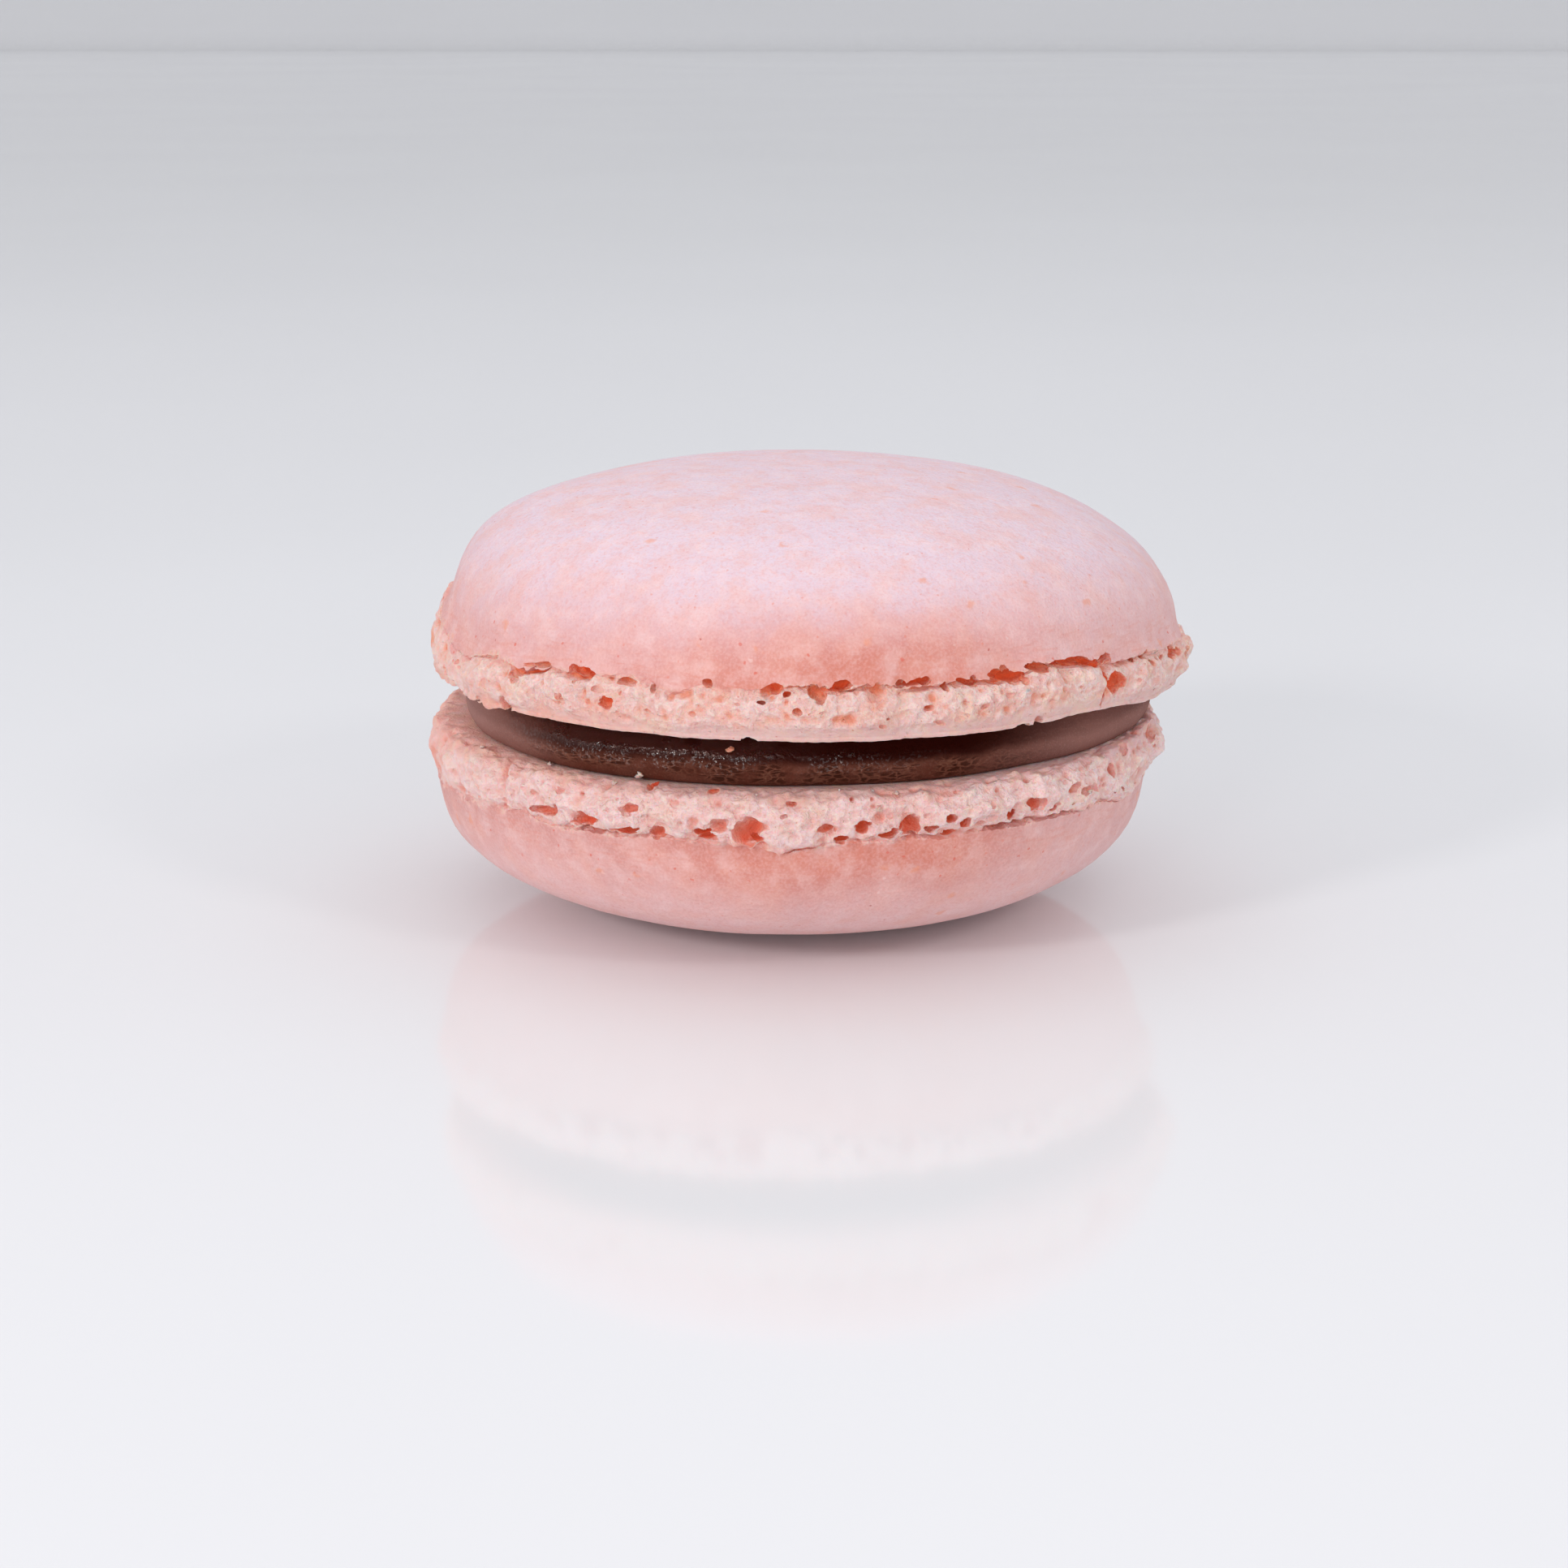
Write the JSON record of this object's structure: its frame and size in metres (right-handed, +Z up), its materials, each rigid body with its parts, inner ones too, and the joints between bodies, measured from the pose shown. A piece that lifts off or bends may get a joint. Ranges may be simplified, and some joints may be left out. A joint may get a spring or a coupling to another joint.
{
  "type": "french macaron",
  "caption": "Round almond meringue sandwich biscuit: two domed shells with ragged porous feet around a disc of chocolate ganache.",
  "frame": {"origin": "middle of the outer box on the surface it stands on, under the flat spot of the lower shell's crown", "axes": "+Z up through both shells, -Y towards the side that is seen, +X to the right"},
  "size_m": [0.0508, 0.05, 0.0288],
  "materials": {
    "upper_shell": "baked pink almond meringue, eggshell sheen on the crust, dry and porous at the foot",
    "ganache": "dark chocolate ganache, satin with a fine grain and small wet glints",
    "lower_shell": "baked pink almond meringue, eggshell sheen on the crust, dry and porous at the foot"
  },
  "bodies": {
    "root": {"shell_upper": "upper_shell", "ganache": "ganache", "shell_lower": "lower_shell"}
  },
  "joints": []
}
